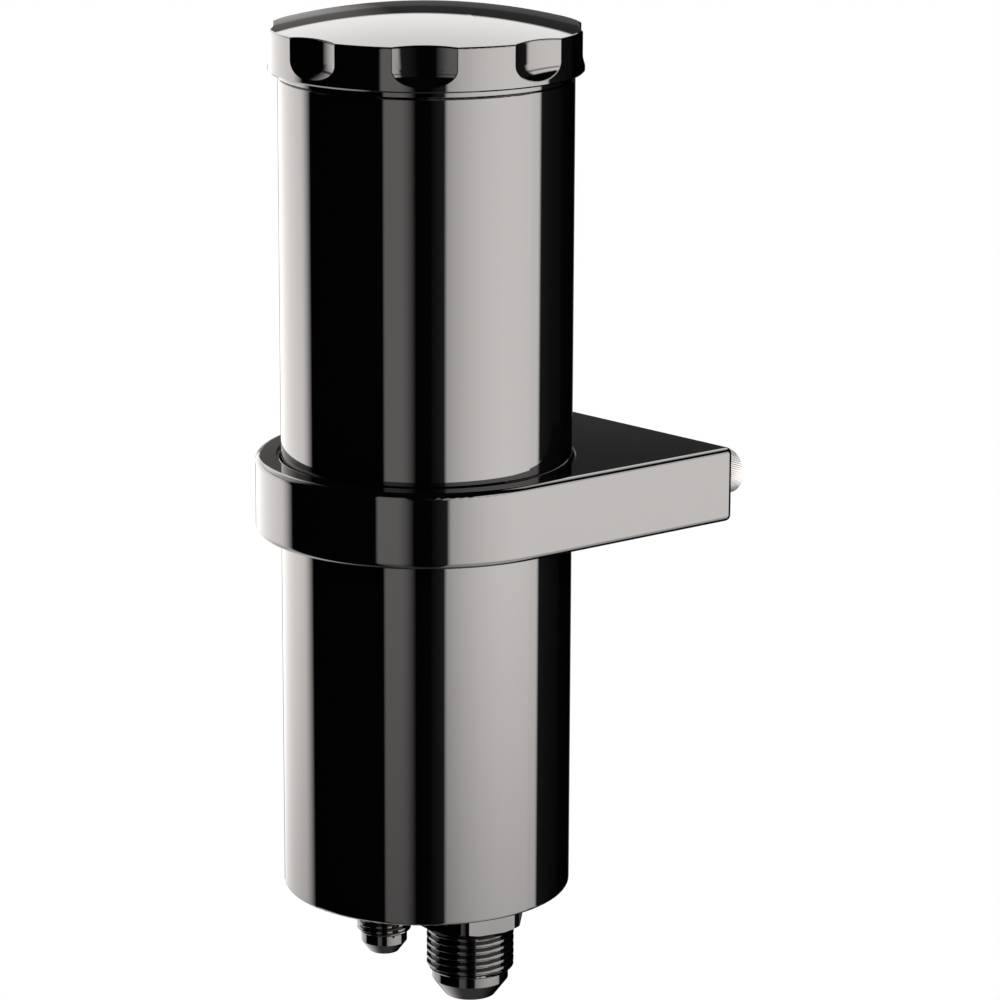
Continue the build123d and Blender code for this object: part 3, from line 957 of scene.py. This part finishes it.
@dataclass
class Studio:
    """Soft boxes around the part, an overhead sheet, a pale floor and a white backdrop.

    Azimuths are in degrees round the can's axis, 0 towards the photograph's camera and positive
    to its right. Where no panel stands, the ring is dark. The panels show only in reflections.

    Attributes:
        camera_azimuth: Direction of the camera from the can, in degrees clockwise from -Y.
        ring_radius: Radius of the ring of panels.
        ring_low: Height of the ring's lower edge.
        ring_high: Height of the ring's upper edge.
        ring_foot: Heights between which the ring gains its full brightness.
        ring_foot_share: Share of the panels' brightness at the ring's lower edge.
        panels: The panels by name.
        arch_radius: Radius of the overhead sheet.
        arch_height: Height of the overhead sheet's middle.
        arch_left: Place of its left edge, from the middle.
        arch_right: Place of its right edge, from the middle.
        arch_tilt: Rise of the overhead sheet towards the camera's right, in degrees.
        arch_foot: Angle of its lower edge above the far horizon, in degrees.
        arch_top: Angle of its upper edge above the far horizon, in degrees.
        arch_top_rise: How far that angle rises for each metre to the right.
        arch_glow: Brightness of the overhead sheet where it is brightest.
        arch_bright_angle: Angle of that place above the far horizon, in degrees.
        arch_drop: Brightness lost for each square degree away from that place.
        arch_least: Least brightness of the overhead sheet.
        arch_soft: Width of its soft lower edge, in degrees.
        ring_colour: Colour of the ring's light.
        arch_colour: Colour of the overhead light.
        flag_glow: Brightness of the dark flag on the floor.
        flag_edge: Radii between which it takes on the ring's brightness.
        floor_height: Height of the floor.
        floor_radius: Radius of the floor.
    """

    camera_azimuth: float = 46.43
    ring_radius: float = 1.2
    ring_low: float = -0.86
    ring_high: float = 1.45
    ring_foot: tuple[float, float] = (-0.7, -0.27)
    ring_foot_share: float = 0.5
    panels: dict[str, LightPanel] = field(
        default_factory=lambda: {
            "back_wall": LightPanel(
                163.0, 34.0, (0.1, 0.12, 0.12), soft_left=6.0, top=(1.5, 1.5), bar=(0.45, 0.45), upper=0.45
            ),
            "grey_wall": LightPanel(
                -178.0, 14.0, (0.3, 0.38, 0.33), soft_left=3.0, top=(1.5, 1.5), bar=(0.45, 0.45), upper=0.45
            ),
            "left_box_back": LightPanel(
                -166.0, 45.0, (2.5, 2.9, 3.25), 3.5, 0.0, top=(1.1, 1.45), fade=(0.1, 1.39), bar=(1.0, 0.2)
            ),
            "left_box_front": LightPanel(
                -121.0, 21.0, (3.25, 3.3, 3.3), 0.0, 14.0, top=(1.45, 0.7), fade=(1.39, 0.64), bar=(0.2, 0.2)
            ),
            "front_screen": LightPanel(-33.6, 25.4, (0.86, 0.84, 0.8), 2.6, 12.0, bar=(0.6, 0.5)),
            "front_spill": LightPanel(3.0, 10.5, (0.01, 0.05, 0.09)),
            "right_box": LightPanel(13.2, 85.6, (2.4, 4.5, 3.3), 3.4, 4.0, bar=(0.4, 0.4)),
            "right_spill": LightPanel(98.8, 30.0, (0.05, 0.02, 0.01)),
        }
    )
    arch_radius: float = 1.15
    arch_height: float = 0.12
    arch_left: float = -0.3
    arch_right: float = 0.95
    arch_tilt: float = 8.0
    arch_foot: float = 15.5
    arch_top: float = 50.0
    arch_top_rise: float = 30.0
    arch_glow: float = 2.7
    arch_bright_angle: float = 35.0
    arch_drop: float = 0.0015
    arch_least: float = 1.5
    arch_soft: float = 1.5
    ring_colour: Colour = (1.0, 0.96, 0.94)
    arch_colour: Colour = (1.0, 0.985, 0.975)
    flag_glow: float = 0.18
    flag_edge: tuple[float, float] = (0.2, 0.5)
    floor_height: float = -0.78
    floor_radius: float = 1.1

    def _place(self, azimuth: float, radius: float, height: float) -> Vector:
        """Returns the point at an azimuth from the camera's direction."""
        turn = math.radians(self.camera_azimuth + azimuth)
        return Vector((radius * math.sin(turn), CAN_AXIS_Y - radius * math.cos(turn), height))

    def _ring_light(self, azimuth: float, height: float) -> float:
        """Returns the ring's brightness, which falls off towards its foot."""
        rise = ramp(height, *self.ring_foot)
        foot = self.ring_foot_share
        share = foot + (1.0 - foot) * rise * rise * (3.0 - 2.0 * rise)
        return share * sum(panel.light(azimuth, height) for panel in self.panels.values())

    def _arch_light(self, angle: float) -> float:
        """Returns the overhead sheet's brightness at an angle above the far horizon."""
        away = angle - self.arch_bright_angle
        level = max(self.arch_glow - self.arch_drop * away * away, self.arch_least)
        return level * ramp(angle, self.arch_foot, self.arch_foot + self.arch_soft)

    def _glow_material(self, name: str, colour: Colour) -> bpy.types.Material:
        """Makes a material that shines as bright as the mesh's glow attribute.

        Args:
            name: Name of the material.
            colour: Colour of the light.

        Returns:
            The material.
        """
        material = bpy.data.materials.new(name)
        material.use_nodes = True
        nodes, links = material.node_tree.nodes, material.node_tree.links
        nodes.clear()
        glow = nodes.new("ShaderNodeAttribute")
        glow.attribute_name = "glow"
        shine = nodes.new("ShaderNodeEmission")
        shine.inputs["Color"].default_value = (*colour, 1.0)
        out = nodes.new("ShaderNodeOutputMaterial")
        links.new(glow.outputs["Fac"], shine.inputs["Strength"])
        links.new(shine.outputs["Emission"], out.inputs["Surface"])
        return material

    def _sheet(
        self, name: str, columns: list[list[Vector]], glow: list[list[float]], colour: Colour
    ) -> bpy.types.Object:
        """Makes a sheet that only reflections see.

        Args:
            name: Name of the sheet.
            columns: Columns of points across the sheet.
            glow: Brightness at each point, column by column.
            colour: Colour of its light.

        Returns:
            The sheet.
        """
        points = [point for column in columns for point in column]
        height = len(columns[0])
        faces = []
        for column in range(len(columns) - 1):
            for row in range(height - 1):
                start = column * height + row
                faces.append((start, start + 1, start + height + 1, start + height))
        mesh = bpy.data.meshes.new(name)
        mesh.from_pydata([tuple(point) for point in points], [], faces)
        values = mesh.attributes.new("glow", "FLOAT", "POINT")
        values.data.foreach_set("value", [level for column in glow for level in column])
        mesh.materials.append(self._glow_material(f"{name}_light", colour))
        sheet = link_mesh(name, mesh)
        sheet.visible_camera = False
        sheet.visible_diffuse = False
        sheet.visible_shadow = False
        sheet.visible_volume_scatter = False
        return sheet

    def _ring(self) -> None:
        """Makes the ring of light panels."""
        azimuths = [0.5 * step - 180.0 for step in range(721)]
        rows = 115
        rise = (self.ring_high - self.ring_low) / rows
        heights = [self.ring_low + rise * row for row in range(rows + 1)]
        columns = []
        glow = []
        for azimuth in azimuths:
            columns.append([self._place(azimuth, self.ring_radius, height) for height in heights])
            glow.append([self._ring_light(azimuth, height) for height in heights])
        self._sheet("reflector_ring", columns, glow, self.ring_colour)

    def _arch(self) -> None:
        """Makes the overhead sheet, behind the part and above it."""
        centre = Vector((0.0, CAN_AXIS_Y, self.arch_height))
        back = (self._place(180.0, 1.0, 0.0) - self._place(0.0, 0.0, 0.0)).normalized()
        level_side = back.cross(Vector((0, 0, 1)))
        tilt = math.radians(self.arch_tilt)
        side = level_side * math.cos(tilt) + Vector((0, 0, math.sin(tilt)))
        angles = [self.arch_foot + 0.5 * step for step in range(121)]
        places = [self.arch_left + (self.arch_right - self.arch_left) * step / 50 for step in range(51)]
        columns = []
        glow = []
        for angle in angles:
            turn = math.radians(angle)
            middle = centre + (back * math.cos(turn) + Vector((0, 0, math.sin(turn)))) * self.arch_radius
            columns.append([middle + side * place for place in places])
            level = self._arch_light(angle)
            tops = [self.arch_top + self.arch_top_rise * max(place, 0.0) for place in places]
            glow.append([level if angle < top else 0.0 for top in tops])
        self._sheet("overhead_sheet", columns, glow, self.arch_colour)

    def _floor_flag(self) -> None:
        """Makes the sheet on the floor that carries the ring's light on towards the middle."""
        radii = (0.0, 0.15, 0.25, 0.4, 0.6, 0.8, 1.0, self.ring_radius)
        columns = []
        glow = []
        for azimuth in range(-180, 181):
            edge = self._ring_light(azimuth, self.ring_low)
            columns.append([self._place(azimuth, radius, self.floor_height + 0.01) for radius in radii])
            blends = [ramp(radius, *self.flag_edge) for radius in radii]
            glow.append([self.flag_glow + (edge - self.flag_glow) * blend for blend in blends])
        self._sheet("floor_flag", columns, glow, self.ring_colour)

    def _ceiling_flag(self) -> None:
        """Makes the dark flag across the ring's upper edge."""
        columns = [
            [self._place(azimuth, radius, self.ring_high) for radius in (0.0, self.ring_radius)]
            for azimuth in range(-180, 181, 5)
        ]
        self._sheet("ceiling_flag", columns, [[0.0, 0.0]] * len(columns), self.ring_colour)

    def _floor(self) -> None:
        """Makes the pale floor."""
        mesh = bpy.data.meshes.new("studio_floor")
        disc = bmesh.new()
        bmesh.ops.create_circle(disc, cap_ends=True, segments=96, radius=self.floor_radius)
        disc.to_mesh(mesh)
        disc.free()
        floor = link_mesh("studio_floor", mesh)
        floor.location = (0.0, CAN_AXIS_Y, self.floor_height)
        material, shader = new_material("pale_floor")
        shader.inputs["Base Color"].default_value = (0.86, 0.86, 0.86, 1.0)
        shader.inputs["Roughness"].default_value = 0.9
        shader.inputs["Emission Strength"].default_value = 0.35
        nodes, links = material.node_tree.nodes, material.node_tree.links
        path = nodes.new("ShaderNodeLightPath")
        seen = nodes.new("ShaderNodeMath")
        seen.operation = "MAXIMUM"
        links.new(path.outputs["Is Camera Ray"], seen.inputs[0])
        links.new(path.outputs["Is Glossy Ray"], seen.inputs[1])
        links.new(seen.outputs[0], shader.inputs["Emission Color"])
        mesh.materials.append(material)

    def _backdrop(self) -> None:
        """Makes the world: white where it is seen, soft and plain where it lights."""
        world = bpy.data.worlds.new("studio_world")
        bpy.context.scene.world = world
        world.use_nodes = True
        nodes, links = world.node_tree.nodes, world.node_tree.links
        nodes.clear()
        path = nodes.new("ShaderNodeLightPath")
        first = nodes.new("ShaderNodeMath")
        first.operation = "MAXIMUM"
        second = nodes.new("ShaderNodeMath")
        second.operation = "MAXIMUM"
        plain = nodes.new("ShaderNodeBackground")
        plain.inputs["Color"].default_value = (1.0, 1.0, 1.0, 1.0)
        plain.inputs["Strength"].default_value = 0.45
        white = nodes.new("ShaderNodeBackground")
        white.inputs["Color"].default_value = (1.0, 1.0, 1.0, 1.0)
        white.inputs["Strength"].default_value = 1.0
        mix = nodes.new("ShaderNodeMixShader")
        out = nodes.new("ShaderNodeOutputWorld")
        links.new(path.outputs["Is Camera Ray"], first.inputs[0])
        links.new(path.outputs["Is Glossy Ray"], first.inputs[1])
        links.new(first.outputs[0], second.inputs[0])
        links.new(path.outputs["Is Transmission Ray"], second.inputs[1])
        links.new(second.outputs[0], mix.inputs["Fac"])
        links.new(plain.outputs["Background"], mix.inputs[1])
        links.new(white.outputs["Background"], mix.inputs[2])
        links.new(mix.outputs["Shader"], out.inputs["Surface"])

    def _lamp(
        self, name: str, azimuth: float, distance: float, height: float, size: float, power: float
    ) -> None:
        """Makes a soft lamp aimed at the part.

        Args:
            name: Name of the lamp.
            azimuth: Its direction from the can, in degrees from the camera's direction.
            distance: Its distance from the can's axis.
            height: Its height.
            size: Its width and height.
            power: Its power in watts.
        """
        data = bpy.data.lights.new(name, "AREA")
        data.shape = "SQUARE"
        data.size = size
        data.energy = power
        lamp = bpy.data.objects.new(name, data)
        bpy.context.scene.collection.objects.link(lamp)
        lamp.location = self._place(azimuth, distance, height)
        aim = Vector((0.0, CAN_AXIS_Y, 0.0)) - lamp.location
        lamp.rotation_mode = "QUATERNION"
        lamp.rotation_quaternion = aim.to_track_quat("-Z", "Y")
        lamp.visible_glossy = False
        lamp.visible_camera = False

    def build(self) -> None:
        """Makes the whole studio."""
        self._ring()
        self._arch()
        self._floor_flag()
        self._ceiling_flag()
        self._floor()
        self._backdrop()
        self._lamp("key_lamp", 55.0, 1.4, 1.0, 1.0, 16.0)
        self._lamp("fill_lamp", -120.0, 1.5, 0.8, 1.2, 9.0)
        self._lamp("top_lamp", 170.0, 0.6, 1.5, 1.2, 10.0)


def build_reservoir(nodes: dict[str, bpy.types.Object], rack: FinishRack) -> None:
    """Dresses the CAD pieces and makes the threaded and knurled ones.

    Args:
        nodes: The CAD nodes by name.
        rack: The finishes.
    """
    PlainPieces().dress(nodes, rack)
    fittings = (
        HoseFitting("outlet_fitting", 0.0161, 0.0111125, -0.10995, -0.12265, 0.0254 / 14),
        HoseFitting("return_fitting", -0.0161, 0.00714375, -0.1127, -0.1214, 0.0254 / 18),
    )
    for fitting in fittings:
        LOG.info("made %s", fitting.build(nodes, rack).name)
    for node, centre_x in (("mounting_screw_left", -0.0381), ("mounting_screw_right", 0.0381)):
        LOG.info("made %s", KnurledScrew(node, centre_x).build(nodes, rack).name)


def main() -> None:
    """Builds the dressed reservoir, its studio and its camera."""
    logging.basicConfig(level=logging.INFO, format="%(name)s: %(message)s")
    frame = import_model()
    rack = FinishRack()
    build_reservoir(frame["nodes"], rack)
    Studio().build()
    PhotoCamera().build()
    bpy.context.scene.view_settings.view_transform = "Standard"


if __name__ == "__main__":
    main()
